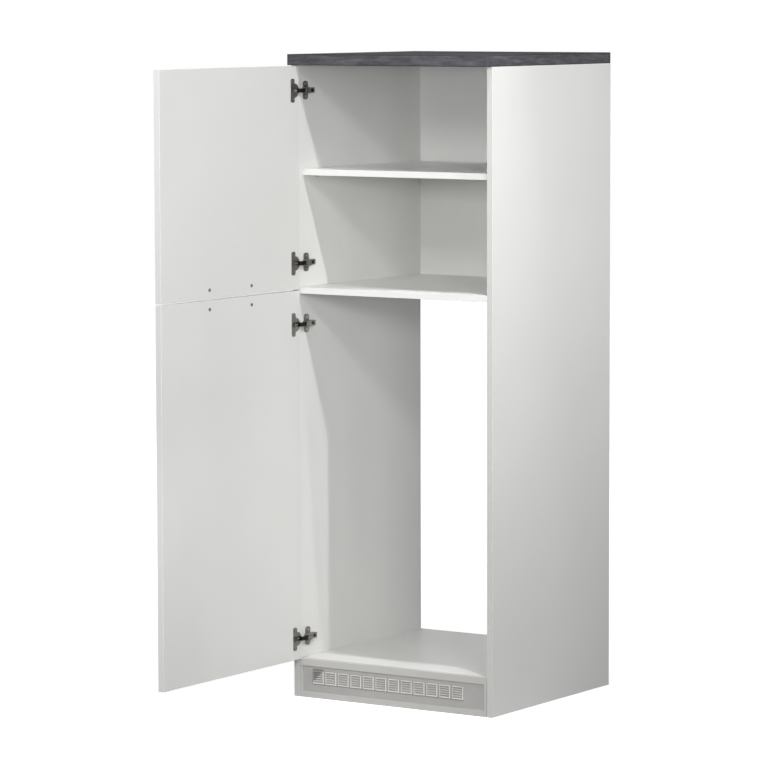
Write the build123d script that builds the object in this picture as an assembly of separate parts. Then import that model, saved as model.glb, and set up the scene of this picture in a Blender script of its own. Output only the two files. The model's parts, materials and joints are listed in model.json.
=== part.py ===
from build123d import *
import os
from math import cos, radians, sin

# A tall kitchen cabinet that houses a built-in fridge, with its two doors open at a right angle.
# Millimetres. X runs to the right, Y to the back and Z up. The origin is on the floor, at the middle
# of the cabinet's width, under the middle of the plinth board's thickness.

# Driving sizes of the carcase
width = 600.0
side_depth = 580.0
side_height = 1622.0
board = 16.0
board_rounding = 0.6
back_thickness = 3.0
back_inset = 4.0
back_lap = 6.0
worktop_thickness = 28.0
worktop_overhang = 20.0
worktop_rounding = 1.5
plinth_height = 100.0
plinth_end_gap = 1.0
middle_board_underside = 1041.0
shelf_share = 0.5045
shelf_setback = 24.0
shelf_side_gap = 0.6
shelf_back_gap = 1.5

# Doors, as they hang when shut
door_thickness = 17.0
door_rounding = 1.0
door_reveal = 2.0
door_gap = 3.0
door_gap_above_middle = 8.0
door_standoff = 2.0
door_top_gap = 2.0
door_lap_on_plinth = 1.0
door_open_angle = 90.0

# Plinth grille
grille_opening_height = 66.0
grille_opening_base = 16.0
grille_opening_stile = 8.5
grille_clearance = 0.2
grille_recess = 4.0
grille_plate = 2.0
grille_flange = 7.0
grille_flange_top = 1.5
window_count = 12
window_pitch = 38.4
window_width = 35.0
window_height = 35.4
window_rim = 3.2
window_rim_height = 3.6
window_rim_slope = 28.0
window_rim_bite = 0.4
window_groove_width = 1.8
window_groove_depth = 1.2
window_row_shift = -15.3
window_row_rise = 4.3
blades_per_window = 5
blade_thickness = 1.6
blade_depth = 9.0
blade_tilt = 48.0
blade_end_bite = 1.0

# Fittings of the boards
dowel_radius = 4.0
dowel_length = 30.0
dowel_in_side = 11.0
cam_radius = 7.5
cam_depth = 12.5
cam_height = 12.2
cam_from_end = 24.0
cam_slot_width = 2.0
cam_slot_depth = 2.5
cam_slot_length = 11.0
cam_bolt_radius = 3.0
cam_bolt_in_side = 10.5
cap_radius = 8.6
cap_thickness = 0.6
fit_gap = 0.1
fitting_inset_front = 70.0
fitting_inset_back = 70.0
dowel_spacing = 64.0
pin_radius = 2.5
pin_in_side = 8.0
pin_out = 9.0
pin_tab_width = 8.0
pin_tab_thickness = 1.6
pin_inset = 60.0
nail_radius = 0.8
nail_head_radius = 2.2
nail_head_height = 0.6
nail_length = 16.0
nails_up = 6
nails_across = 5
nail_edge = 6.0
plinth_dowel_heights = (8.0, 91.0)
wood_screw_radius = 1.75
wood_screw_head_radius = 3.6
wood_screw_head_height = 2.0
wood_screw_length = 13.0
cross_slot_width = 0.9
cross_slot_depth = 1.0

# Concealed hinges
upper_hinge_above_base = 67.2
upper_hinge_below_top = 62.0
lower_hinge_above_base = 54.5
lower_hinge_below_top = 86.2
cup_radius = 17.5
cup_wall = 0.9
cup_depth = 12.5
cup_from_edge = 19.5
cup_bore_gap = 0.1
flange_thickness = 1.1
flange_bar_width = 17.0
flange_bar_reach = 7.5
flange_bar_rounding = 5.0
flange_screw_spacing = 45.0
flange_screw_setback = 9.5
flange_rim = 0.6
mouth_width = 12.0
mouth_from_edge = 5.0
link_pin_radius = 1.5
link_eye_gap = 0.08
link_eye_radius = 3.1
link_width = 4.0
link_height = 10.0
link_wall = 2.4
fixed_pin_from_side = 18.0
fixed_pin_behind_front = 14.5
moving_pin_from_edge = 9.4
moving_pin_below_face = 3.2
link_turn_shut = 24.9
knee_from_side = 18.5
knee_before_front = 13.5
arm_width = 13.6
arm_wall = 1.2
arm_nose_before_pin = 5.5
arm_nose_above_pin = 5.5
arm_nose_below_pin = 4.5
arm_nose_length = 6.0
arm_tail_behind_front = 62.0
arm_tail_height = 13.0
arm_slope_end = 45.0
arm_foot_start = 24.0
plate_screw_behind_front = 37.0
plate_screw_spacing = 32.0
plate_wing_width = 21.0
plate_wing_reach = 7.6
plate_wing_rounding = 7.4
plate_bar_width = 15.0
plate_bar_start = 22.0
plate_bar_end = 55.0
plate_base = 2.2
plate_block_half = 5.4
plate_block_start = 24.0
plate_block_end = 56.0
arm_seat_gap = 0.2
arm_screw_radius = 2.0
arm_screw_head_radius = 3.4
arm_screw_head_height = 1.8
arm_fix_screw_behind_front = 50.0
cup_screw_length = 12.0

# Handles
handle_spacing = 180.0
handle_drop = 22.5
handle_off_centre = 6.0
handle_bar_radius = 5.0
handle_post_radius = 4.5
handle_standoff = 30.0
handle_end_overrun = 9.0
handle_screw_radius = 2.0
handle_screw_head_radius = 4.2
handle_screw_head_height = 1.6
handle_screw_bite = 9.0

# One overrun serves every cut
overrun = 1.0

# Places worked out from the driving sizes
half_width = width / 2
inner_half = half_width - board
front = -board / 2
rear = front + side_depth
bottom_board_top = plinth_height
bottom_board_underside = bottom_board_top - board
middle_board_top = middle_board_underside + board
shelf_underside = middle_board_top + shelf_share * (side_height - middle_board_top)
shelf_top = shelf_underside + board
door_width = width - 2 * door_reveal
door_edge = -half_width + door_reveal
door_inner = front - door_standoff
door_outer = door_inner - door_thickness
upper_door_top = side_height - door_top_gap
gap_base = middle_board_underside + door_gap_above_middle
lower_door_top = gap_base
upper_door_base = gap_base + door_gap
lower_door_base = bottom_board_top - door_lap_on_plinth
upper_hinge_heights = (upper_door_base + upper_hinge_above_base, upper_door_top - upper_hinge_below_top)
lower_hinge_heights = (lower_door_base + lower_hinge_above_base, lower_door_top - lower_hinge_below_top)

# The two pins of a hinge link with the door shut, and the turns that open it
fixed_pin_x = -inner_half + fixed_pin_from_side
fixed_pin_y = front + fixed_pin_behind_front
moving_pin_x = door_edge + moving_pin_from_edge
moving_pin_y = door_inner - moving_pin_below_face
fixed_pin = Vector(fixed_pin_x, fixed_pin_y, 0)
moving_pin_shut = Vector(moving_pin_x, moving_pin_y, 0)
moving_pin_open = fixed_pin + (moving_pin_shut - fixed_pin).rotate(Axis.Z, link_turn_shut)


def block(x0, x1, y0, y1, z0, z1):
    """A box between two corners."""
    corner = (Align.MIN, Align.MIN, Align.MIN)
    return Pos(x0, y0, z0) * Box(x1 - x0, y1 - y0, z1 - z0, align=corner)


def softened(solid, rounding):
    """The solid with all its edges rounded alike."""
    return fillet(solid.edges(), rounding)


def rod(radius, start, direction, length):
    """A round rod from a start point along a direction."""
    foot = Plane(origin=start, z_dir=direction)
    return foot * Cylinder(radius, length, align=(Align.CENTER, Align.CENTER, Align.MIN))


def save(solids, node):
    """Writes one node from one solid or a list of separate solids."""
    if isinstance(solids, list):
        pieces = [piece for shape in solids for piece in shape.solids()]
        shape = Compound(children=pieces)
    else:
        shape = solids
    export_step(shape, "parts/" + node + ".step")


def cross_slots(solid, tip, direction, reach):
    """Cuts a cross recess into a screw head whose outer face is centred on tip."""
    face = Plane(origin=tip, z_dir=direction)
    recess_one = face * Box(reach, cross_slot_width, 2 * cross_slot_depth)
    recess_two = face * Box(cross_slot_width, reach, 2 * cross_slot_depth)
    return solid - recess_one - recess_two


def opened(shape):
    """Carries a shape that belongs to a door from the shut place to the open one."""
    turned = shape.rotate(Axis(moving_pin_shut, (0, 0, 1)), -door_open_angle)
    return turned.translate(moving_pin_open - moving_pin_shut)


# Places along the depth where the boards are fastened
def fastening_rows(y0, y1):
    """The depths of the cams, and of the dowels beside them, on a board from y0 to y1."""
    cams = (y0 + fitting_inset_front, y1 - fitting_inset_back)
    dowels = (cams[0] + dowel_spacing, cams[1] - dowel_spacing)
    return cams, dowels


bottom_cams, bottom_dowels = fastening_rows(front + board, rear)
middle_cams, middle_dowels = fastening_rows(front, rear)
top_cams, top_dowels = middle_cams, middle_dowels


def board_fittings(z_middle, cams, dowels):
    """Cams, bolts and dowels of a board that meets both sides, with the bores that they need."""
    locks, bolts, pegs, bores_in_board, bores_in_sides = [], [], [], [], []
    underside = z_middle - board / 2
    for sign in (-1, 1):
        wall = sign * inner_half
        inward = (-sign, 0, 0)
        outward = (sign, 0, 0)
        for y in cams:
            cam_x = wall - sign * cam_from_end
            lock = rod(cam_radius, (cam_x, y, underside), (0, 0, 1), cam_height)
            neck = rod(cam_bolt_radius + fit_gap, (wall, y, z_middle), inward, cam_from_end)
            slot_edge = underside - cam_slot_depth
            slot = Pos(cam_x, y, slot_edge) * Box(
                cam_slot_length, cam_slot_width, 2 * 2 * cam_slot_depth
            )
            locks.append(lock - neck - slot)
            bolt_start = (wall + sign * cam_bolt_in_side, y, z_middle)
            bolt_length = cam_bolt_in_side + cam_from_end - fit_gap
            bolts.append(rod(cam_bolt_radius, bolt_start, inward, bolt_length))
            under = (cam_x, y, underside - overrun)
            outside = (wall + sign * overrun, y, z_middle)
            inside = (wall - sign * overrun, y, z_middle)
            bores_in_board.append(rod(cam_radius + fit_gap, under, (0, 0, 1), overrun + cam_depth))
            bores_in_board.append(rod(cam_bolt_radius + fit_gap, outside, inward, cam_from_end))
            bores_in_sides.append(rod(cam_bolt_radius, inside, outward, cam_bolt_in_side + overrun))
        for y in dowels:
            peg_start = (wall + sign * dowel_in_side, y, z_middle)
            pegs.append(rod(dowel_radius, peg_start, inward, dowel_length))
            bore_depth = dowel_length - dowel_in_side + fit_gap
            outside = (wall + sign * overrun, y, z_middle)
            inside = (wall - sign * overrun, y, z_middle)
            bores_in_board.append(rod(dowel_radius + fit_gap, outside, inward, bore_depth + overrun))
            bores_in_sides.append(rod(dowel_radius + fit_gap, inside, outward, dowel_in_side + overrun))
    return locks, bolts, pegs, bores_in_board, bores_in_sides


def worktop_fittings():
    """Cams in the sides, with bolts and dowels that stand up into the worktop."""
    locks, bolts, pegs, caps, bores_in_sides, bores_in_top = [], [], [], [], [], []
    up = (0, 0, 1)
    for sign in (-1, 1):
        wall = sign * inner_half
        middle = sign * (half_width - board / 2)
        outward = (sign, 0, 0)
        inward = (-sign, 0, 0)
        for y in top_cams:
            cam_z = side_height - cam_from_end
            sunk = wall + sign * cap_thickness
            lock = rod(cam_radius, (sunk, y, cam_z), outward, cam_height)
            neck = rod(cam_bolt_radius + fit_gap, (middle, y, cam_z), up, cam_from_end)
            slot = Pos(sunk, y, cam_z) * Box(2 * cam_slot_depth, cam_slot_length, cam_slot_width)
            locks.append(lock - neck - slot)
            bolt_length = cam_from_end + cam_bolt_in_side - fit_gap
            bolts.append(rod(cam_bolt_radius, (middle, y, cam_z + fit_gap), up, bolt_length))
            caps.append(rod(cap_radius, (wall, y, cam_z), outward, cap_thickness))
            before = (wall - sign * overrun, y, cam_z)
            seat = rod(cap_radius + fit_gap, before, outward, cap_thickness + overrun)
            bore = rod(cam_radius + fit_gap, (wall, y, cam_z), outward, cap_thickness + cam_depth)
            shaft = rod(cam_bolt_radius + fit_gap, (middle, y, cam_z), up, cam_from_end + overrun)
            bores_in_sides += [seat, bore, shaft]
            below = (middle, y, side_height - overrun)
            bores_in_top.append(rod(cam_bolt_radius, below, up, cam_bolt_in_side + overrun))
        for y in top_dowels:
            peg_base = side_height - dowel_length + dowel_in_side
            pegs.append(rod(dowel_radius, (middle, y, peg_base), up, dowel_length))
            foot = (middle, y, peg_base - fit_gap)
            below = (middle, y, side_height - overrun)
            rise = overrun + dowel_in_side + fit_gap
            bores_in_sides.append(rod(dowel_radius + fit_gap, foot, up, dowel_length))
            bores_in_top.append(rod(dowel_radius + fit_gap, below, up, rise))
    return locks, bolts, pegs, caps, bores_in_sides, bores_in_top


bottom_set = board_fittings(bottom_board_top - board / 2, bottom_cams, bottom_dowels)
middle_set = board_fittings(middle_board_top - board / 2, middle_cams, middle_dowels)
top_set = worktop_fittings()


def shelf_pin_places():
    """Wall sign and depth of each of the four shelf supports."""
    depths = (front + shelf_setback + pin_inset, rear - pin_inset)
    return [(sign, y) for sign in (-1, 1) for y in depths]


def shelf_pins():
    """Four supports: a round pin in the side and a flat tab under the shelf."""
    pins = []
    pin_z = shelf_underside - pin_tab_thickness - pin_radius
    for sign, y in shelf_pin_places():
        wall = sign * inner_half
        inner_end = (wall + sign * pin_in_side, y, pin_z)
        shaft = rod(pin_radius, inner_end, (-sign, 0, 0), pin_in_side + pin_out)
        near, far = sorted((wall, wall - sign * pin_out))
        tab = block(
            near, far, y - pin_tab_width / 2, y + pin_tab_width / 2, pin_z, shelf_underside
        )
        pins.append(shaft + tab)
    return pins


def shelf_pin_bores():
    """Bores in the sides that hold the shelf supports."""
    pin_z = shelf_underside - pin_tab_thickness - pin_radius
    bores = []
    for sign, y in shelf_pin_places():
        start = (sign * (inner_half - overrun), y, pin_z)
        bores.append(rod(pin_radius, start, (sign, 0, 0), pin_in_side + overrun))
    return bores


def nail_places():
    """Points on the back panel where it is nailed to the sides and the middle board."""
    base = middle_board_underside + back_inset
    top = side_height - back_inset
    rise = (top - base - 2 * nail_edge) / (nails_up - 1)
    edge_x = half_width - board / 2
    places = [(sign * edge_x, base + nail_edge + k * rise) for sign in (-1, 1) for k in range(nails_up)]
    run = 2 * edge_x / (nails_across + 1)
    places += [(-edge_x + (k + 1) * run, middle_board_top - board / 2) for k in range(nails_across)]
    return places


def back_nails():
    """Round nails through the back panel into the boards."""
    nails = []
    for x, z in nail_places():
        shank = rod(nail_radius, (x, rear + back_thickness, z), (0, -1, 0), nail_length)
        head = rod(nail_head_radius, (x, rear + back_thickness, z), (0, 1, 0), nail_head_height)
        nails.append(shank + head)
    return nails


def nail_bores():
    """The straight holes that the nails fill."""
    return [
        rod(nail_radius, (x, rear + back_thickness + overrun, z), (0, -1, 0), nail_length + overrun)
        for x, z in nail_places()
    ]


def pilot_screw(start, direction, length, radius, head_radius, head_height):
    """A screw with a low round head. start is the head's seat, and direction points into the material."""
    back = Vector(*direction) * -1
    shank = rod(radius, start, direction, length)
    head = rod(head_radius, start, back, head_height)
    tip = Vector(*start) + back * head_height
    return cross_slots(shank + head, tip, back, head_radius)


def plinth_dowel_places():
    """Wall sign and height of each dowel between the plinth board's ends and the sides."""
    return [(sign, z) for sign in (-1, 1) for z in plinth_dowel_heights]


def plinth_dowels():
    """Dowels that join the plinth board's ends to the sides."""
    return [
        rod(dowel_radius, (sign * (inner_half + dowel_in_side), 0, z), (-sign, 0, 0), dowel_length)
        for sign, z in plinth_dowel_places()
    ]


def plinth_dowel_bores():
    """The bores for the plinth's dowels, through the joint in both boards."""
    length = dowel_length + 2 * fit_gap
    start = inner_half + dowel_in_side + fit_gap
    return [
        rod(dowel_radius + fit_gap, (sign * start, 0, z), (-sign, 0, 0), length)
        for sign, z in plinth_dowel_places()
    ]


def screws_at(places, radius, head_radius, head_height, length):
    """The same screw at each seat."""
    return [pilot_screw(start, way, length, radius, head_radius, head_height) for start, way in places]


def bores_at(places, radius, length):
    """The hole that each screw of a list fills."""
    return [rod(radius, start, way, length) for start, way in places]


def grille_opening():
    """The frame opening's limits in X and Z."""
    x = inner_half - grille_opening_stile
    return -x, x, grille_opening_base, grille_opening_base + grille_opening_height


def grille_screw_places():
    """Seats of the screws that hold the grille's flange to the back of the plinth board."""
    x0, x1, z0, z1 = grille_opening()
    seat_y = front + board + grille_plate
    beside = x1 + grille_flange / 2
    below = z0 - grille_flange / 2
    level = (z0 + z1) / 2
    points = [(x0 / 2, below), (x1 / 2, below), (-beside, level), (beside, level)]
    return [((x, seat_y, z), (0, -1, 0)) for x, z in points]


def plinth_board():
    """The front board on the floor, cut out for the grille."""
    x0, x1, z0, z1 = grille_opening()
    end = inner_half - plinth_end_gap
    base = softened(block(-end, end, front, front + board, 0, plinth_height), board_rounding)
    cut = block(x0, x1, front - overrun, front + board + overrun, z0, z1)
    pilots = bores_at(grille_screw_places(), wood_screw_radius, wood_screw_length)
    return base - cut - pilots - plinth_dowel_bores()


def window_places():
    """The middle of each square window of the grille."""
    x0, x1, z0, z1 = grille_opening()
    first = (x0 + x1) / 2 + window_row_shift - window_pitch * (window_count - 1) / 2
    z = (z0 + z1) / 2 + window_row_rise
    return [(first + k * window_pitch, z) for k in range(window_count)]


def grille():
    """The moulded grille: a tray let in from behind. Each window has a proud rim with a groove along its
    left and underneath, and slanted blades."""
    x0, x1, z0, z1 = grille_opening()
    face = front + grille_recess
    x0, x1 = x0 + grille_clearance, x1 - grille_clearance
    z0, z1 = z0 + grille_clearance, z1 - grille_clearance
    tray_back = front + board
    body = block(x0, x1, face, tray_back, z0, z1)
    hollow = block(
        x0 + grille_plate, x1 - grille_plate, face + grille_plate, tray_back,
        z0 + grille_plate, z1 - grille_plate,
    )
    flange = block(
        x0 - grille_flange, x1 + grille_flange, tray_back, tray_back + grille_plate,
        z0 - grille_flange, z1 + grille_flange_top,
    )
    well = block(
        x0 + grille_plate, x1 - grille_plate, tray_back - overrun, tray_back + grille_plate + overrun,
        z0 + grille_plate, z1 - grille_plate,
    )
    body = body - hollow + (flange - well)
    inside_w = window_width - 2 * window_rim
    inside_h = window_height - 2 * window_rim
    centres = window_places()
    rims = []
    holes = []
    grooves = []
    for x, z in centres:
        seat = Plane(origin=(x, face + window_rim_bite, z), x_dir=(1, 0, 0), z_dir=(0, -1, 0))
        outline = seat * Rectangle(window_width, window_height)
        rims.append(extrude(outline, window_rim_bite + window_rim_height, taper=window_rim_slope))
        holes.append(
            block(
                x - inside_w / 2, x + inside_w / 2, face - window_rim_height - overrun,
                face + grille_plate + overrun, z - inside_h / 2, z + inside_h / 2,
            )
        )
        left = x - window_width / 2
        base = z - window_height / 2
        floor = face + window_groove_depth
        grooves.append(
            block(left - window_groove_width, left, face - overrun, floor, base, z + window_height / 2)
        )
        grooves.append(
            block(
                left - window_groove_width, x + window_width / 2, face - overrun, floor,
                base - window_groove_width, base,
            )
        )
    body = body - grooves + rims - holes
    blades = []
    step = inside_h / blades_per_window
    row_z = centres[0][1]
    row_start = centres[0][0] - inside_w / 2 - blade_end_bite
    row_end = centres[-1][0] + inside_w / 2 + blade_end_bite
    row_middle = (row_start + row_end) / 2
    blade_y = face + grille_plate / 2
    for k in range(blades_per_window):
        blade_z = row_z - inside_h / 2 + (2 * k + 1) * step / 2
        for x, z in centres:
            slat = Box(inside_w + 2 * blade_end_bite, blade_depth, blade_thickness)
            blades.append(Pos(x, blade_y, blade_z) * Rot(blade_tilt, 0, 0) * slat)
    room = block(
        row_start - overrun, row_end + overrun, face - window_rim_height, tray_back,
        row_z - inside_h / 2 - blade_end_bite, row_z + inside_h / 2 + blade_end_bite,
    )
    blades = [blade & room for blade in blades]
    body = body + blades
    return body - bores_at(grille_screw_places(), wood_screw_radius, wood_screw_length)


def cup_centre_x():
    """The middle of a hinge cup with the door shut."""
    return door_edge + cup_from_edge


def flange_outline():
    """The hinge cup's flange from the front: a round rim with a tall bar behind it."""
    bar_middle = flange_screw_setback
    bar_height = flange_screw_spacing + 2 * flange_bar_reach
    rim = Circle(cup_radius + flange_rim)
    bar = Pos(bar_middle, 0) * RectangleRounded(flange_bar_width, bar_height, flange_bar_rounding)
    trim_edge = bar_middle + flange_bar_width / 2
    trim = Pos(trim_edge + cup_radius, 0) * Rectangle(2 * cup_radius, bar_height)
    return rim + bar - trim


def mouth_outline():
    """The opening in the flange that the link swings through."""
    start = mouth_from_edge - cup_from_edge
    inner = cup_radius - cup_wall
    strip = Pos(0, 0) * Rectangle(2 * cup_radius, mouth_width)
    keep = Circle(inner)
    cut = Pos(start - cup_radius, 0) * Rectangle(2 * cup_radius, 2 * cup_radius)
    return (strip & keep) - cut


def on_door_face(z):
    """A drawing plane on the shut door's inner face, its X along the door and its normal to the back."""
    return Plane(origin=(cup_centre_x(), door_inner, z), x_dir=(1, 0, 0), z_dir=(0, 1, 0))


def cup_screw_places(z):
    """Seats of the two screws in a cup's flange, with the door shut."""
    x = cup_centre_x() + flange_screw_setback
    seat = door_inner + flange_thickness
    half = flange_screw_spacing / 2
    return [((x, seat, z - half), (0, -1, 0)), ((x, seat, z + half), (0, -1, 0))]


def hinge_cup(z):
    """A pressed cup let into the door, its flange lying on the door's face."""
    face = on_door_face(z)
    flange = extrude(face * flange_outline(), flange_thickness)
    shell = extrude(face * Circle(cup_radius), -cup_depth)
    inner = extrude(face * Circle(cup_radius - cup_wall), -(cup_depth - cup_wall))
    mouth = extrude(face * mouth_outline(), flange_thickness + overrun)
    cup = flange + shell - inner - mouth
    foot = (moving_pin_x, moving_pin_y, z - cup_radius)
    pin_bore = rod(link_pin_radius, foot, (0, 0, 1), 2 * cup_radius)
    screws = bores_at(cup_screw_places(z), wood_screw_radius, flange_thickness + overrun)
    return cup - pin_bore - screws


def cup_pin(z):
    """The pin on which the door turns, from wall to wall of the cup."""
    foot = (moving_pin_x, moving_pin_y, z - cup_radius)
    through = rod(link_pin_radius, foot, (0, 0, 1), 2 * cup_radius)
    return through & extrude(on_door_face(z) * Circle(cup_radius), -cup_depth)


def arm_pin(z):
    """The pin on which the link turns, held by both cheeks of the arm."""
    return rod(link_pin_radius, (fixed_pin_x, fixed_pin_y, z - arm_width / 2), (0, 0, 1), arm_width)


def link_knee():
    """The link's knee with the door open, straight out of the cup."""
    return Vector(-inner_half + knee_from_side, front - knee_before_front, 0)


def hinge_link(z):
    """A cranked link: two straight runs and a knee, with a forked eye at each end."""
    knee = link_knee()
    base = Plane.XY.offset(z - link_height / 2)
    ends = [fixed_pin, knee, moving_pin_open]
    outline = Sketch()
    for a, b in zip(ends[:-1], ends[1:]):
        run = b - a
        middle = (a + b) / 2
        angle = Vector(1, 0, 0).get_signed_angle(run, Vector(0, 0, 1))
        bar = Rot(0, 0, angle) * Rectangle(run.length, link_width)
        outline += Pos(middle.X, middle.Y) * bar
    outline += Pos(knee.X, knee.Y) * Circle(link_width / 2)
    outline += Pos(fixed_pin.X, fixed_pin.Y) * Circle(link_eye_radius)
    outline += Pos(moving_pin_open.X, moving_pin_open.Y) * Circle(link_eye_radius)
    link = extrude(base * outline, link_height)
    for pin in (fixed_pin, moving_pin_open):
        bore = rod(
            link_pin_radius + link_eye_gap, (pin.X, pin.Y, z - link_height), (0, 0, 1), 2 * link_height
        )
        fork = Pos(pin.X, pin.Y, z) * Cylinder(2 * link_eye_radius, link_height - 2 * link_wall)
        link = link - bore - fork
    return link


def arm_profile():
    """The arm from above, as points: a high nose at the pin that slopes down to a low tail."""
    wall = -inner_half
    nose = fixed_pin_y - arm_nose_before_pin
    top = fixed_pin_x + arm_nose_above_pin
    tail = front + arm_tail_behind_front
    tail_top = wall + arm_tail_height
    foot = wall + plate_base + arm_seat_gap
    under = fixed_pin_x - arm_nose_below_pin
    return [
        (under, nose), (top, nose), (top, fixed_pin_y + arm_nose_length),
        (tail_top, front + arm_slope_end), (tail_top, tail), (foot, tail),
        (foot, front + arm_foot_start),
    ]


def arm_hollow():
    """The room inside the arm's channel, as points: open to the side board and at the nose."""
    wall = -inner_half
    top = fixed_pin_x + arm_nose_above_pin - arm_wall
    tail_top = wall + arm_tail_height - arm_wall
    tail = front + arm_tail_behind_front - arm_wall
    before = fixed_pin_y - arm_nose_before_pin - overrun
    return [
        (wall, before), (top, before), (top, fixed_pin_y + arm_nose_length),
        (tail_top, front + arm_slope_end), (tail_top, tail), (wall, tail),
    ]


def prism(points, z0, height):
    """A straight prism on a closed outline."""
    return extrude(Plane.XY.offset(z0) * make_face(Polyline(*points, close=True)), height)


def arm_screw_places(z):
    """Seats of the fixing screw and the adjusting screw on the arm."""
    wall = -inner_half
    fix = ((wall + arm_tail_height, front + arm_fix_screw_behind_front, z), (-1, 0, 0))
    return [fix]


def hinge_arm(z):
    """The pressed arm: a channel over the mounting plate, its nose holding the link's pin."""
    outer = prism(arm_profile(), z - arm_width / 2, arm_width)
    inner_width = arm_width - 2 * arm_wall
    inner = prism(arm_hollow(), z - inner_width / 2, inner_width)
    foot = (fixed_pin_x, fixed_pin_y, z - arm_width)
    pin_bore = rod(link_pin_radius, foot, (0, 0, 1), 2 * arm_width)
    arm = outer - inner - pin_bore
    return arm - bores_at(arm_screw_places(z), arm_screw_radius + fit_gap, arm_tail_height)


def plate_screw_places(z):
    """Seats of the two screws that hold a mounting plate to the side."""
    x = -inner_half + plate_base
    y = front + plate_screw_behind_front
    half = plate_screw_spacing / 2
    return [((x, y, z - half), (-1, 0, 0)), ((x, y, z + half), (-1, 0, 0))]


def mounting_plate(z):
    """The cross-shaped plate on the side: two rounded wings and a raised block inside the arm."""
    wall = -inner_half
    y = front + plate_screw_behind_front
    side = Plane(origin=(wall, y, z), x_dir=(0, 1, 0), z_dir=(1, 0, 0))
    tall = plate_screw_spacing + 2 * plate_wing_reach
    wings = RectangleRounded(plate_wing_width, tall, plate_wing_rounding)
    long = plate_bar_end - plate_bar_start
    bar_shift = (plate_bar_start + plate_bar_end) / 2 - plate_screw_behind_front
    bar = Pos(bar_shift, 0) * SlotOverall(long, plate_bar_width)
    base = extrude(side * (wings + bar), plate_base)
    raised = block(
        wall, wall + arm_tail_height - arm_wall - arm_seat_gap,
        front + plate_block_start, front + plate_block_end,
        z - plate_block_half, z + plate_block_half,
    )
    plate = base + raised
    plate = plate - bores_at(plate_screw_places(z), wood_screw_radius, 2 * plate_base)
    holes = bores_at(arm_screw_places(z), arm_screw_radius, arm_tail_height - plate_base)
    return plate - holes


def handle_heights(door):
    """The height of a door's handle."""
    return upper_door_base + handle_drop if door == "upper" else lower_door_top - handle_drop


def handle_places(door):
    """The two screw points of a handle along the shut door, on its outer face."""
    middle = (2 * door_edge + door_width) / 2 + handle_off_centre
    z = handle_heights(door)
    half = handle_spacing / 2
    return [(middle - half, z), (middle + half, z)]


def handle(door):
    """A bow handle: a round bar on two posts that stand on the door's outer face."""
    points = handle_places(door)
    z = points[0][1]
    bar_y = door_outer - handle_standoff
    start = points[0][0] - handle_end_overrun
    length = points[1][0] + handle_end_overrun - start
    bar = softened(rod(handle_bar_radius, (start, bar_y, z), (1, 0, 0), length), board_rounding)
    for x, height in points:
        bar += rod(handle_post_radius, (x, door_outer, height), (0, -1, 0), handle_standoff)
    for x, height in points:
        mouth = (x, door_outer + overrun, height)
        bar -= rod(handle_screw_radius, mouth, (0, -1, 0), handle_screw_bite + overrun)
    return bar


def handle_screws(door):
    """Two screws from the inner face through the door into the handle's posts."""
    length = door_thickness + handle_screw_bite
    seats = [((x, door_inner, z), (0, -1, 0)) for x, z in handle_places(door)]
    return screws_at(seats, handle_screw_radius, handle_screw_head_radius, handle_screw_head_height, length)


def door_panel(door, z0, z1, hinges):
    """A door's board with its cup bores, screw holes and handle holes."""
    plain = block(door_edge, door_edge + door_width, door_outer, door_inner, z0, z1)
    panel = softened(plain, door_rounding)
    bore = cup_radius + cup_bore_gap
    depth = cup_depth + cup_bore_gap
    cuts = []
    for z in hinges:
        mouth = (cup_centre_x(), door_inner + overrun, z)
        cuts.append(rod(bore, mouth, (0, -1, 0), depth + overrun))
        cuts += bores_at(cup_screw_places(z), wood_screw_radius, cup_screw_length)
    for x, z in handle_places(door):
        mouth = (x, door_inner + overrun, z)
        through = door_thickness + 2 * overrun
        cuts.append(rod(handle_screw_radius + fit_gap, mouth, (0, -1, 0), through))
    return panel - cuts


def side_panel(sign):
    """A side from the floor to the worktop, with the bores that its fittings need."""
    outer = sign * half_width
    x0, x1 = sorted((outer, sign * inner_half))
    panel = softened(block(x0, x1, front, rear, 0, side_height), board_rounding)
    cuts = bottom_set[4] + middle_set[4] + top_set[4]
    cuts += shelf_pin_bores() + nail_bores() + plinth_dowel_bores()
    if sign < 0:
        for z in upper_hinge_heights + lower_hinge_heights:
            cuts += bores_at(plate_screw_places(z), wood_screw_radius, wood_screw_length)
    inside = [cut for cut in cuts if cut.center().X * sign > 0]
    return panel - inside


def inner_board(y0, z0, cuts):
    """A fixed board between the sides."""
    plain = softened(block(-inner_half, inner_half, y0, rear, z0, z0 + board), board_rounding)
    return plain - cuts


def hang(node, shapes):
    """Writes a door's node in its open place."""
    save([opened(shape) for shape in shapes], node)


os.makedirs("parts", exist_ok=True)

save(side_panel(-1), "left_side_panel")
save(side_panel(1), "right_side_panel")
save(inner_board(front + board, bottom_board_underside, bottom_set[3]), "bottom_board")
save(inner_board(front, middle_board_underside, middle_set[3] + nail_bores()), "middle_board")
shelf_half = inner_half - shelf_side_gap
shelf = block(
    -shelf_half, shelf_half, front + shelf_setback, rear - shelf_back_gap, shelf_underside, shelf_top
)
save(softened(shelf, board_rounding), "adjustable_shelf")
back = block(
    -half_width + back_inset, half_width - back_inset, rear, rear + back_thickness,
    middle_board_underside + back_inset, side_height + back_lap,
)
save(back - nail_bores(), "upper_back_panel")
worktop = softened(
    block(
        -half_width, half_width, front - worktop_overhang, rear,
        side_height, side_height + worktop_thickness,
    ),
    worktop_rounding,
)
save(worktop - top_set[5], "worktop")
save(plinth_board(), "plinth_board")
save(grille(), "plinth_grille")
save(bottom_set[0] + middle_set[0] + top_set[0], "cam_locks")
save(bottom_set[1] + middle_set[1] + top_set[1], "cam_bolts")
save(bottom_set[2] + middle_set[2] + top_set[2] + plinth_dowels(), "wooden_dowels")
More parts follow.
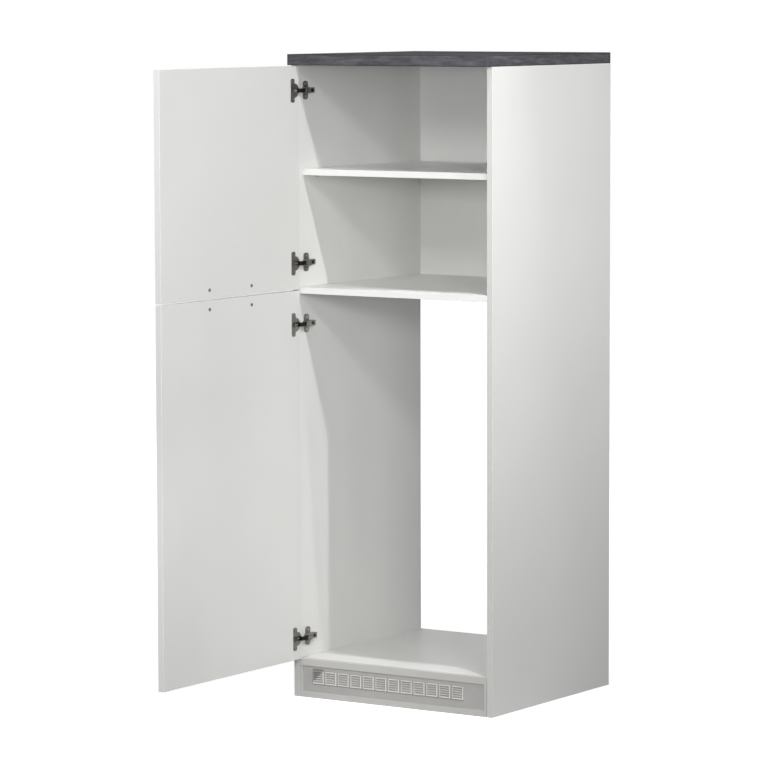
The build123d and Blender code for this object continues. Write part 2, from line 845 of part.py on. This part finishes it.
save(top_set[3], "cam_cover_caps")
save(shelf_pins(), "shelf_pins")
save(back_nails(), "back_panel_nails")
small_screw = (wood_screw_radius, wood_screw_head_radius, wood_screw_head_height)
save(screws_at(grille_screw_places(), *small_screw, wood_screw_length), "grille_screws")

doors = {
    "upper": (upper_door_base, upper_door_top, upper_hinge_heights),
    "lower": (lower_door_base, lower_door_top, lower_hinge_heights),
}
for door, (z0, z1, hinges) in doors.items():
    hang(door + "_door_panel", [door_panel(door, z0, z1, hinges)])
    hang(door + "_hinge_cups", [hinge_cup(z) for z in hinges])
    hang(door + "_cup_pins", [cup_pin(z) for z in hinges])
    cup_places = [place for z in hinges for place in cup_screw_places(z)]
    hang(door + "_cup_screws", screws_at(cup_places, *small_screw, cup_screw_length))
    hang(door + "_handle", [handle(door)])
    hang(door + "_handle_screws", handle_screws(door))
    save([hinge_link(z) for z in hinges], door + "_hinge_links")
    save([hinge_arm(z) for z in hinges], door + "_hinge_arms")
    save([arm_pin(z) for z in hinges], door + "_arm_pins")
    save([mounting_plate(z) for z in hinges], door + "_mounting_plates")
    plate_places = [place for z in hinges for place in plate_screw_places(z)]
    save(screws_at(plate_places, *small_screw, wood_screw_length), door + "_plate_screws")
    arm_places = [place for z in hinges for place in arm_screw_places(z)]
    arm_screw = (arm_screw_radius, arm_screw_head_radius, arm_screw_head_height)
    save(screws_at(arm_places, *arm_screw, arm_tail_height - plate_base), door + "_arm_screws")
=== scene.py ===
import json
from math import cos, radians, sin

import bpy
import numpy as np
from mathutils import Matrix, Vector


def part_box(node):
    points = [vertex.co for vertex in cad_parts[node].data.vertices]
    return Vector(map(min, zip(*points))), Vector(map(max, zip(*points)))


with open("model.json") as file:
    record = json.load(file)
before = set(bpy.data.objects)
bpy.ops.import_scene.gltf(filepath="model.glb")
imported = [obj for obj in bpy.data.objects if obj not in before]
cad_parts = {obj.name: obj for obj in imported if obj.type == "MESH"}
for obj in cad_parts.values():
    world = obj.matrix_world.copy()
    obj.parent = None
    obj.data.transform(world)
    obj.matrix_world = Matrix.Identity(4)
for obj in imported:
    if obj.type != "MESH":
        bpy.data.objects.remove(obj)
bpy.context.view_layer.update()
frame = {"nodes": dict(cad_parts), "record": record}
nodes = frame["nodes"]


# Helpers
def linear(code):
    """An sRGB hex code as linear red, green, blue and alpha, by the sRGB curve."""
    channels = np.array([int(code[k:k + 2], 16) for k in (1, 3, 5)]) / 255
    low = channels / 12.92
    high = ((channels + 0.055) / 1.055) ** 2.4
    return (*np.where(channels <= 0.04045, low, high).tolist(), 1.0)


def add(tree, kind, sets=(), links=()):
    """Adds one node, then writes its settings and links other sockets into it."""
    node = tree.nodes.new(kind)
    for name, value in dict(sets).items():
        if isinstance(name, int) or name in node.inputs:
            node.inputs[name].default_value = value
        else:
            setattr(node, name, value)
    for name, socket in dict(links).items():
        tree.links.new(socket, node.inputs[name])
    return node


def ramp(tree, source, stops):
    """A colour ramp from (place, colour) stops, fed by one socket."""
    node = add(tree, "ShaderNodeValToRGB", links={"Fac": source})
    element = node.color_ramp.elements
    element[0].position, element[0].color = stops[0]
    element[1].position, element[1].color = stops[-1]
    for place, colour in stops[1:-1]:
        element.new(place).color = colour
    return node


def material(name, surface):
    """A material with one Principled shader, set to surface and wired to the output. Returns the
    material, its node tree and the shader."""
    made = bpy.data.materials.new(name)
    made.use_nodes = True
    tree = made.node_tree
    tree.nodes.clear()
    shader = add(tree, "ShaderNodeBsdfPrincipled", surface)
    add(tree, "ShaderNodeOutputMaterial", links={"Surface": shader.outputs["BSDF"]})
    return made, tree, shader


def object_place(tree, scale=(1.0, 1.0, 1.0)):
    """The surface's own place in metres, stretched by scale."""
    here = add(tree, "ShaderNodeTexCoord")
    stretched = add(
        tree, "ShaderNodeMapping", {"Scale": scale}, {"Vector": here.outputs["Object"]}
    )
    return stretched.outputs["Vector"]


# Materials
def melamine_board(name, broad, raw_rear, tape, face=("#DBDBD9", "#DEDEDC"), gloss=0.25):
    """Chipboard faced with white melamine, pressed between plates with a fine pearl texture, its edges
    taped with ABS. broad is the axis that the faces look along. tape and face are each a darker and a
    lighter tone, and gloss is how strongly the board mirrors. With raw_rear the rear edge is bare."""
    # The eye sees an even, slightly warm white with a soft sheen, and a bare speckled edge behind.
    made, tree, shader = material(name, {"IOR": 1.5, "Specular IOR Level": gloss})
    here = object_place(tree)
    # Pressing clouds about 250 mm across, whose tones differ by about one hundredth
    clouds = add(tree, "ShaderNodeTexNoise", {"Scale": 4.0, "Detail": 2.0}, {"Vector": here})
    face_tone = ramp(tree, clouds.outputs["Fac"], [(0.3, linear(face[0])), (0.7, linear(face[1]))])
    tape_tone = ramp(tree, clouds.outputs["Fac"], [(0.3, linear(tape[0])), (0.7, linear(tape[1]))])
    facing = add(tree, "ShaderNodeTexCoord")
    parts = add(tree, "ShaderNodeSeparateXYZ", links={"Vector": facing.outputs["Normal"]})
    turned = add(tree, "ShaderNodeMath", {"operation": "ABSOLUTE"}, {0: parts.outputs[broad]})
    edge = add(
        tree, "ShaderNodeMath", {"operation": "LESS_THAN", 1: 0.5}, {0: turned.outputs["Value"]}
    )
    taped = add(
        tree, "ShaderNodeMix", {"data_type": "RGBA"},
        {
            "Factor": edge.outputs["Value"],
            6: face_tone.outputs["Color"], 7: tape_tone.outputs["Color"],
        },
    )
    colour = taped.outputs[2]
    if raw_rear:
        # Chips about 2.4 mm long
        chips = add(
            tree, "ShaderNodeTexNoise", {"Scale": 420.0, "Detail": 5.0, "Roughness": 0.7},
            {"Vector": here},
        )
        raw = ramp(
            tree, chips.outputs["Fac"],
            [(0.3, linear("#7E6344")), (0.5, linear("#B39468")), (0.7, linear("#D2B88C"))],
        )
        rear = add(
            tree, "ShaderNodeMath", {"operation": "GREATER_THAN", 1: 0.5}, {0: parts.outputs["Y"]}
        )
        bared = add(
            tree, "ShaderNodeMix", {"data_type": "RGBA"},
            {"Factor": rear.outputs["Value"], 6: colour, 7: raw.outputs["Color"]},
        )
        colour = bared.outputs[2]
    tree.links.new(colour, shader.inputs["Base Color"])
    # The pearl's bumps are about 0.5 mm across, drawn 1.4 mm across so that they show
    pearl = add(tree, "ShaderNodeTexNoise", {"Scale": 700.0, "Detail": 2.0}, {"Vector": here})
    bump = add(
        tree, "ShaderNodeBump", {"Strength": 0.12, "Distance": 0.0001}, {"Height": pearl.outputs["Fac"]}
    )
    tree.links.new(bump.outputs["Normal"], shader.inputs["Normal"])
    sheen = add(
        tree, "ShaderNodeMapRange", {"To Min": 0.32, "To Max": 0.4}, {"Value": clouds.outputs["Fac"]}
    )
    tree.links.new(sheen.outputs["Result"], shader.inputs["Roughness"])
    return made


def hardboard():
    """Thin pressed fibre board: white lacquer in front, bare brown fibre with a mesh print behind."""
    # The eye sees a plain even white in the compartments, and a dull brown with a woven look from behind.
    made, tree, shader = material("lacquered_hardboard", {"Roughness": 0.5, "IOR": 1.5})
    here = object_place(tree)
    # Fibres about 3 mm long
    fibre = add(tree, "ShaderNodeTexNoise", {"Scale": 320.0, "Detail": 6.0}, {"Vector": here})
    brown = ramp(tree, fibre.outputs["Fac"], [(0.3, linear("#7A5638")), (0.7, linear("#96704C"))])
    white = ramp(tree, fibre.outputs["Fac"], [(0.2, linear("#DADAD8")), (0.8, linear("#DEDEDC"))])
    facing = add(tree, "ShaderNodeTexCoord")
    parts = add(tree, "ShaderNodeSeparateXYZ", links={"Vector": facing.outputs["Normal"]})
    behind = add(
        tree, "ShaderNodeMath", {"operation": "GREATER_THAN", 1: 0.5}, {0: parts.outputs["Y"]}
    )
    mixed = add(
        tree, "ShaderNodeMix", {"data_type": "RGBA"},
        {"Factor": behind.outputs["Value"], 6: white.outputs["Color"], 7: brown.outputs["Color"]},
    )
    tree.links.new(mixed.outputs[2], shader.inputs["Base Color"])
    # The wire mesh that the board is pressed on, about 2 mm apart, drawn 4 mm apart so that it shows
    mesh_x = add(
        tree, "ShaderNodeTexWave", {"Scale": 80.0, "bands_direction": "X"}, {"Vector": here}
    )
    mesh_z = add(
        tree, "ShaderNodeTexWave", {"Scale": 80.0, "bands_direction": "Z"}, {"Vector": here}
    )
    crossed = add(
        tree, "ShaderNodeMath", {"operation": "MULTIPLY"},
        {0: mesh_x.outputs["Fac"], 1: mesh_z.outputs["Fac"]},
    )
    only_behind = add(
        tree, "ShaderNodeMath", {"operation": "MULTIPLY"},
        {0: crossed.outputs["Value"], 1: behind.outputs["Value"]},
    )
    bump = add(
        tree, "ShaderNodeBump", {"Strength": 0.5, "Distance": 0.0003},
        {"Height": only_behind.outputs["Value"]},
    )
    tree.links.new(bump.outputs["Normal"], shader.inputs["Normal"])
    return made


def slab_laminate():
    """Anthracite laminate with a fine slate grain, pressed on chipboard and deep matt."""
    # The eye sees a dark violet grey with faint streaks that run level, and a darker joint along the edges.
    made, tree, shader = material(
        "anthracite_laminate", {"Roughness": 0.75, "IOR": 1.5, "Specular IOR Level": 0.06}
    )
    level_streaks = object_place(tree, (1.0, 1.0, 7.0))
    here = object_place(tree)
    # Streaks about 50 mm long and 7 mm high
    streaks = add(
        tree, "ShaderNodeTexNoise", {"Scale": 21.0, "Detail": 5.0, "Roughness": 0.6},
        {"Vector": level_streaks},
    )
    tone = ramp(
        tree, streaks.outputs["Fac"],
        [(0.3, linear("#3B3B40")), (0.5, linear("#505055")), (0.7, linear("#68676C"))],
    )
    # Grains about 3 mm across
    grains = add(tree, "ShaderNodeTexNoise", {"Scale": 330.0, "Detail": 3.0}, {"Vector": here})
    speck = ramp(
        tree, grains.outputs["Fac"], [(0.35, linear("#434247")), (0.7, linear("#66656B"))]
    )
    mixed = add(
        tree, "ShaderNodeMix", {"data_type": "RGBA", "Factor": 0.25},
        {6: tone.outputs["Color"], 7: speck.outputs["Color"]},
    )
    # The joint of face and edge darkens from 2.2 mm off the slab's top and underside, in full at 1 mm
    joint_starts = 0.0022
    joint_full = 0.001
    low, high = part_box("worktop")
    middle_height = (low.z + high.z) / 2
    half_thickness = (high.z - low.z) / 2
    parts = add(tree, "ShaderNodeSeparateXYZ", links={"Vector": here})
    off = add(
        tree, "ShaderNodeMath", {"operation": "SUBTRACT", 1: middle_height}, {0: parts.outputs["Z"]}
    )
    away = add(tree, "ShaderNodeMath", {"operation": "ABSOLUTE"}, {0: off.outputs["Value"]})
    joint = add(
        tree, "ShaderNodeMapRange",
        {"From Min": half_thickness - joint_starts, "From Max": half_thickness - joint_full},
        {"Value": away.outputs["Value"]},
    )
    edged = add(
        tree, "ShaderNodeMix", {"data_type": "RGBA", 7: linear("#343338")},
        {"Factor": joint.outputs["Result"], 6: mixed.outputs[2]},
    )
    tree.links.new(edged.outputs[2], shader.inputs["Base Color"])
    bump = add(
        tree, "ShaderNodeBump", {"Strength": 0.25, "Distance": 0.0002}, {"Height": grains.outputs["Fac"]}
    )
    tree.links.new(bump.outputs["Normal"], shader.inputs["Normal"])
    return made


def moulded_plastic(name, dark, light, rough):
    """Injection-moulded plastic with the fine spark grain of its mould."""
    # The eye sees one plain tone with a dull, even sheen.
    made, tree, shader = material(name, {"Roughness": rough, "IOR": 1.53})
    here = object_place(tree)
    # Flow marks about 25 mm across
    flow = add(tree, "ShaderNodeTexNoise", {"Scale": 40.0, "Detail": 2.0}, {"Vector": here})
    tone = ramp(tree, flow.outputs["Fac"], [(0.3, linear(dark)), (0.7, linear(light))])
    tree.links.new(tone.outputs["Color"], shader.inputs["Base Color"])
    # Spark grain about 0.3 mm across, drawn 1 mm across so that it shows
    grain = add(tree, "ShaderNodeTexNoise", {"Scale": 1000.0, "Detail": 1.0}, {"Vector": here})
    bump = add(
        tree, "ShaderNodeBump", {"Strength": 0.2, "Distance": 0.0001}, {"Height": grain.outputs["Fac"]}
    )
    tree.links.new(bump.outputs["Normal"], shader.inputs["Normal"])
    return made


def grille_plastic():
    """Injection-moulded grey ABS. The proud rims of the windows are painted paler than the sunk field as a
    painted highlight, and the upper left of the first window is painted darker as a painted shadow."""
    # The eye sees a flat mid grey, pale square outlines, and darker blades in their shade.
    made, tree, shader = material(
        "grey_abs", {"Roughness": 0.55, "IOR": 1.53, "Specular IOR Level": 0.3}
    )
    here = object_place(tree)
    # Flow marks about 33 mm across
    flow = add(tree, "ShaderNodeTexNoise", {"Scale": 30.0, "Detail": 2.0}, {"Vector": here})
    field = ramp(tree, flow.outputs["Fac"], [(0.3, linear("#A9A8A6")), (0.7, linear("#AEADAB"))])
    # The rims stand 3.6 mm proud of the field. A painted highlight makes them pale from 2.2 mm behind their
    # fronts, in full at 1.4 mm
    pale_starts = 0.0022
    pale_full = 0.0014
    low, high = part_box("plinth_grille")
    parts = add(tree, "ShaderNodeSeparateXYZ", links={"Vector": here})
    proud = add(
        tree, "ShaderNodeMapRange",
        {"From Min": low.y + pale_starts, "From Max": low.y + pale_full},
        {"Value": parts.outputs["Y"]},
    )
    rims_painted_highlight = add(
        tree, "ShaderNodeMix", {"data_type": "RGBA", 7: linear("#D6D5D1")},
        {"Factor": proud.outputs["Result"], 6: field.outputs["Color"]},
    )
    # A painted shadow fills the first window above the diagonal that rises to the right. Lengths in metres.
    window_middle = (low.x + 0.0558, low.y, low.z + 0.0483)
    window_reach = 0.0182
    diagonal_blur = 0.003
    painted_shadow_share = 0.62
    off = add(
        tree, "ShaderNodeVectorMath", {"operation": "SUBTRACT", 1: window_middle}, {0: here}
    )
    places = add(tree, "ShaderNodeSeparateXYZ", links={"Vector": off.outputs["Vector"]})
    slant = add(
        tree, "ShaderNodeMath", {"operation": "SUBTRACT"},
        {0: places.outputs["Z"], 1: places.outputs["X"]},
    )
    above = add(
        tree, "ShaderNodeMapRange",
        {"From Min": -diagonal_blur, "From Max": diagonal_blur, "To Max": painted_shadow_share},
        {"Value": slant.outputs["Value"]},
    )
    far = add(
        tree, "ShaderNodeVectorMath", {"operation": "ABSOLUTE"}, {0: off.outputs["Vector"]}
    )
    sides = add(tree, "ShaderNodeSeparateXYZ", links={"Vector": far.outputs["Vector"]})
    reach = add(
        tree, "ShaderNodeMath", {"operation": "MAXIMUM"}, {0: sides.outputs["X"], 1: sides.outputs["Z"]}
    )
    within = add(
        tree, "ShaderNodeMath", {"operation": "LESS_THAN", 1: window_reach},
        {0: reach.outputs["Value"]},
    )
    painted_shadow = add(
        tree, "ShaderNodeMath", {"operation": "MULTIPLY"},
        {0: above.outputs["Result"], 1: within.outputs["Value"]},
    )
    with_painted_shadow = add(
        tree, "ShaderNodeMix", {"data_type": "RGBA", 7: linear("#5E5D5B")},
        {"Factor": painted_shadow.outputs["Value"], 6: rims_painted_highlight.outputs[2]},
    )
    tree.links.new(with_painted_shadow.outputs[2], shader.inputs["Base Color"])
    # Spark grain about 0.3 mm across, drawn 1 mm across so that it shows
    grain = add(tree, "ShaderNodeTexNoise", {"Scale": 1000.0, "Detail": 1.0}, {"Vector": here})
    bump = add(
        tree, "ShaderNodeBump", {"Strength": 0.2, "Distance": 0.0001}, {"Height": grain.outputs["Fac"]}
    )
    tree.links.new(bump.outputs["Normal"], shader.inputs["Normal"])
    return made


def plated_metal(name, dark, light, rough, spread, other=None):
    """Metal with a plated or brushed finish: marks a few millimetres long, and a slightly uneven sheen,
    from rough less spread to rough plus spread. other, where given, is an axis, two places on it, and
    the tone that the finish turns to from the first place to the second."""
    # The eye sees plain metal with soft highlights that its marks break up.
    made, tree, shader = material(name, {"Metallic": 1.0})
    # Marks about 1 mm wide and 7 mm high
    rolled = object_place(tree, (1.0, 1.0, 0.15))
    marks = add(tree, "ShaderNodeTexNoise", {"Scale": 900.0, "Detail": 2.0}, {"Vector": rolled})
    tone = ramp(tree, marks.outputs["Fac"], [(0.3, linear(dark)), (0.7, linear(light))])
    colour = tone.outputs["Color"]
    if other is not None:
        axis, first, second, other_tone = other
        parts = add(tree, "ShaderNodeSeparateXYZ", links={"Vector": object_place(tree)})
        share = add(
            tree, "ShaderNodeMapRange", {"From Min": first, "From Max": second},
            {"Value": parts.outputs[axis]},
        )
        turned = add(
            tree, "ShaderNodeMix", {"data_type": "RGBA", 7: linear(other_tone)},
            {"Factor": share.outputs["Result"], 6: colour},
        )
        colour = turned.outputs[2]
    tree.links.new(colour, shader.inputs["Base Color"])
    sheen = add(
        tree, "ShaderNodeMapRange", {"To Min": rough - spread, "To Max": rough + spread},
        {"Value": marks.outputs["Fac"]},
    )
    tree.links.new(sheen.outputs["Result"], shader.inputs["Roughness"])
    bump = add(
        tree, "ShaderNodeBump", {"Strength": 0.1, "Distance": 0.0001}, {"Height": marks.outputs["Fac"]}
    )
    tree.links.new(bump.outputs["Normal"], shader.inputs["Normal"])
    return made


def beech():
    """Turned beech with short darker flecks along the peg."""
    # The eye sees a warm light brown with fine dark dashes.
    made, tree, shader = material("beech", {"Roughness": 0.6, "IOR": 1.5})
    # Flecks about 1.7 mm wide and 8 mm long
    along = object_place(tree, (0.2, 1.0, 1.0))
    flecks = add(tree, "ShaderNodeTexNoise", {"Scale": 600.0, "Detail": 4.0}, {"Vector": along})
    tone = ramp(tree, flecks.outputs["Fac"], [(0.3, linear("#A87B4E")), (0.65, linear("#CFA777"))])
    tree.links.new(tone.outputs["Color"], shader.inputs["Base Color"])
    return made


# The darker and the lighter tone of the hinges' plating
gunmetal = ("#777572", "#9D9B97")
# What each material slot of the record gets
finishes = {
    "white_board": melamine_board(
        "melamine_door", "X", False, ("#E1E1DF", "#E3E3E1"), ("#D6D6D4", "#D9D9D7")
    ),
    "slab_laminate": slab_laminate(),
    "grille_plastic": grille_plastic(),
    "hinge_metal": plated_metal("gunmetal_plated_steel", *gunmetal, 0.5, 0.08),
    "screw_steel": plated_metal("bright_zinc_plate", "#B4B4B8", "#CDCDD0", 0.28, 0.06),
    "cam_metal": plated_metal("die_cast_zinc", "#8C8C90", "#A4A4A8", 0.5, 0.08),
    "dowel_wood": beech(),
    "cap_plastic": moulded_plastic("white_abs", "#DADAD8", "#DFDFDD", 0.4),
    "handle_steel": plated_metal("brushed_stainless_steel", "#A6A6A9", "#C4C4C7", 0.3, 0.08),
}
# The side panels' edge tape is painted darker than the other boards' tape: painted shade.
upright_board_shaded_tape = melamine_board("melamine_side", "X", True, ("#C6C6C3", "#C9C9C6"))
# What single nodes get in place of their slot's finish. The boards are one white melamine: their tones
# differ as painted light and painted shade, and their gloss differs.
special = {
    "upper_back_panel": hardboard(),
    "left_side_panel": upright_board_shaded_tape,
    "right_side_panel": upright_board_shaded_tape,
    # The niche floor's edge tape is painted whiter than the other boards' tape: painted light.
    "bottom_board": melamine_board(
        "melamine_niche_floor", "Z", True, ("#F0F0EE", "#F2F2F0"), gloss=0.05
    ),
    # The middle board's faces are painted a little whiter than the side panels': painted light.
    "middle_board": melamine_board(
        "melamine_middle_board", "Z", True, ("#E2E2E0", "#E4E4E2"), ("#E1E1DF", "#E4E4E2"), 0.5
    ),
    # The shelf's faces and edge tape are painted whiter than the other boards': painted light.
    "adjustable_shelf": melamine_board(
        "melamine_shelf", "Z", True, ("#E8E8E6", "#EAEAE8"), ("#FCFCFA", "#FDFDFB"), 0.5
    ),
    # The plinth is the same white melamine painted grey: painted shade, darker towards the floor.
    "plinth_board": melamine_board(
        "melamine_plinth", "Y", False, ("#BEBDBA", "#C1C0BD"), ("#BBBAB7", "#BEBDBA")
    ),
}
# The cups are paler from 1.6 mm under the face of their flange, in full at 2.2 mm. The links turn near
# black from 14 mm in front of the cups' rear ends, in full at 13 mm. Places in metres.
flange_front, cup_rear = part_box("upper_hinge_cups")[1].xy
pale_starts = flange_front - 0.0016
pale_full = flange_front - 0.0022
black_starts = cup_rear - 0.014
black_full = cup_rear - 0.013
cup_metal = plated_metal(
    "gunmetal_plated_cup", *gunmetal, 0.5, 0.08, ("X", pale_starts, pale_full, "#A8A6A2")
)
link_metal = plated_metal(
    "half_near_black_steel", "#7E7C79", "#A09E9A", 0.5, 0.08, ("Y", black_starts, black_full, "#2C2A28")
)
# The arm screws are near black.
near_black_finish = plated_metal("near_black_steel", "#2C2A28", "#3E3B38", 0.45, 0.06)
paler = plated_metal("nickel_plated_steel", "#A19E99", "#BEBBB6", 0.4, 0.06)
for stage in ("upper", "lower"):
    special[stage + "_hinge_cups"] = cup_metal
    special[stage + "_hinge_links"] = link_metal
    special[stage + "_arm_screws"] = near_black_finish
    special[stage + "_plate_screws"] = paler
    special[stage + "_cup_pins"] = finishes["hinge_metal"]
    special[stage + "_arm_pins"] = finishes["hinge_metal"]
for part in frame["record"]["subparts"]:
    node = part["node"]
    finish = special.get(node, finishes[part["material_slot"]])
    mesh = nodes[node].data
    mesh.materials.clear()
    mesh.materials.append(finish)


# Stage
def seen_directly(tree):
    """One for camera, glossy and see-through rays, and zero for the light that falls on things."""
    path = add(tree, "ShaderNodeLightPath")
    first = add(
        tree, "ShaderNodeMath", {"operation": "MAXIMUM"},
        {0: path.outputs["Is Camera Ray"], 1: path.outputs["Is Glossy Ray"]},
    )
    return add(
        tree, "ShaderNodeMath", {"operation": "MAXIMUM"},
        {0: first.outputs["Value"], 1: path.outputs["Is Transmission Ray"]},
    ).outputs["Value"]


def studio_paper():
    """Matt pale studio paper. Where it is seen it glows near to white, fully so away from the object,
    and close to the object its own shade still shows."""
    made = bpy.data.materials.new("studio_paper")
    made.use_nodes = True
    tree = made.node_tree
    tree.nodes.clear()
    # The glow starts to rise 1 m from the object's origin and is full at 2.6 m
    near = 1.0
    far = 2.6
    near_glow = 0.84
    paper = add(tree, "ShaderNodeBsdfDiffuse", {"Color": linear("#B9B9B9")})
    here = add(tree, "ShaderNodeTexCoord")
    reach = add(
        tree, "ShaderNodeVectorMath", {"operation": "LENGTH"}, {0: here.outputs["Object"]}
    )
    fade = add(
        tree, "ShaderNodeMapRange",
        {"From Min": near, "From Max": far, "To Min": near_glow, "To Max": 1.0},
        {"Value": reach.outputs["Value"]},
    )
    glow = add(
        tree, "ShaderNodeEmission", {"Color": (1.0, 1.0, 1.0, 1.0)},
        {"Strength": fade.outputs["Result"]},
    )
    lit = add(
        tree, "ShaderNodeAddShader", {}, {0: paper.outputs["BSDF"], 1: glow.outputs["Emission"]}
    )
    mixed = add(
        tree, "ShaderNodeMixShader", {},
        {0: seen_directly(tree), 1: paper.outputs["BSDF"], 2: lit.outputs["Shader"]},
    )
    add(tree, "ShaderNodeOutputMaterial", links={"Surface": mixed.outputs["Shader"]})
    return made


# The floor is one flat square sheet that lies half a millimetre below the object
floor_reach = 12.0
floor_drop = 0.0005
floor_corners = [
    (x * floor_reach, y * floor_reach, -floor_drop) for x, y in ((-1, -1), (1, -1), (1, 1), (-1, 1))
]
floor_sheet = bpy.data.meshes.new("studio_floor")
floor_sheet.from_pydata(floor_corners, [], [(0, 1, 2, 3)])
floor_sheet.materials.append(studio_paper())
floor = bpy.data.objects.new("studio_floor", floor_sheet)
bpy.context.collection.objects.link(floor)

# The air is white where it is seen, and lights the object only faintly
air_strength = 0.12
world = bpy.data.worlds.new("studio_air")
bpy.context.scene.world = world
world.use_nodes = True
sky = world.node_tree
sky.nodes.clear()
seen = add(sky, "ShaderNodeBackground", {"Color": (1.0, 1.0, 1.0, 1.0), "Strength": 1.0})
air = add(sky, "ShaderNodeBackground", {"Color": (1.0, 1.0, 1.0, 1.0), "Strength": air_strength})
either = add(
    sky, "ShaderNodeMixShader", {},
    {0: seen_directly(sky), 1: air.outputs["Background"], 2: seen.outputs["Background"]},
)
add(sky, "ShaderNodeOutputWorld", links={"Surface": either.outputs["Shader"]})


# Lights
def aimed_lamp(name, kind, place, target, watts, sizes):
    """A studio lamp that faces its target and isn't seen by the camera. sizes are the settings of its
    kind, each by its own name."""
    data = bpy.data.lights.new(name, kind)
    data.energy = watts
    for setting, value in sizes.items():
        setattr(data, setting, value)
    made = bpy.data.objects.new(name, data)
    bpy.context.collection.objects.link(made)
    made.location = place
    made.rotation_euler = (Vector(target) - Vector(place)).to_track_quat("-Z", "Y").to_euler()
    made.visible_camera = False


# Places and targets in metres. name: (place, target, side in metres, watts)
softboxes = {
    "right_wide": ((6.0, -5.0, 2.0), (0.0, 0.0, 0.9), 2.0, 109.3),
    "front_wide": ((2.0, -4.0, 1.7), (0.2, 0.3, 1.4), 0.6, 24.1),
    "front_near": ((1.4, -2.4, 1.6), (0.2, 0.5, 1.3), 0.3, 20.4),
    "front_above": ((-0.1, -2.2, 2.3), (0.0, 0.3, 1.35), 0.3, 13.5),
    "niche_behind": ((1.0, 0.8, 1.2), (0.3, 0.3, 1.2), 0.5, 0.75),
    "rear_wide": ((-4.5, 3.5, 2.5), (0.0, 0.0, 0.9), 2.0, 70.0),
}
for name, (place, target, side, watts) in softboxes.items():
    aimed_lamp(name, "AREA", place, target, watts, {"shape": "SQUARE", "size": side})
# name: (place, target, cone in degrees, radius in metres, watts)
spots = {
    "key_high": ((4.0, -0.9, 3.55), (0.2, -0.1, 1.4), 36.0, 0.05, 270.5),
    "key_low": ((2.235, -0.458, 2.525), (0.1, -0.1, 1.5), 45.0, 0.035, 23.7),
    "above_right": ((0.67, -0.27, 3.5), (0.0, 0.0, 0.1), 20.0, 0.04, 166.0),
    "doors_low": ((0.28, -1.3, 0.8), (-0.28, -0.35, 0.2), 60.0, 0.15, 9.8),
    "corner_high": ((3.0, -3.0, 3.2), (0.3, 0.1, 1.5), 44.0, 0.25, 139.0),
    "corner_low": ((5.0, -2.0, 2.6), (0.3, 0.1, 1.5), 36.0, 0.3, 41.8),
}
for name, (place, target, cone, radius, watts) in spots.items():
    sizes = {"spot_size": radians(cone), "spot_blend": 1.0, "shadow_soft_size": radius}
    aimed_lamp(name, "SPOT", place, target, watts, sizes)


# Camera at the photograph's angle, place and focal length, solved from the object's edges
photo_side = 765
focal_pixels = 4031.715
camera_place = (5.531022, -8.47117, 1.801465)
yaw = radians(33.288)
pitch = radians(-5.506)
roll = radians(-0.148)
ahead = Vector((-sin(yaw) * cos(pitch), cos(yaw) * cos(pitch), sin(pitch)))
level = Vector((cos(yaw), sin(yaw), 0.0))
upright = level.cross(ahead)
across = cos(roll) * level + sin(roll) * upright
rise = cos(roll) * upright - sin(roll) * level
lens = bpy.data.cameras.new("photo_camera")
lens.sensor_width = 36.0
lens.lens = focal_pixels / photo_side * lens.sensor_width
lens.clip_end = 200.0
camera = bpy.data.objects.new("photo_camera", lens)
bpy.context.collection.objects.link(camera)
camera.location = camera_place
camera.rotation_euler = Matrix((across, rise, -ahead)).transposed().to_euler()
bpy.context.scene.camera = camera
bpy.context.scene.view_settings.view_transform = "Standard"
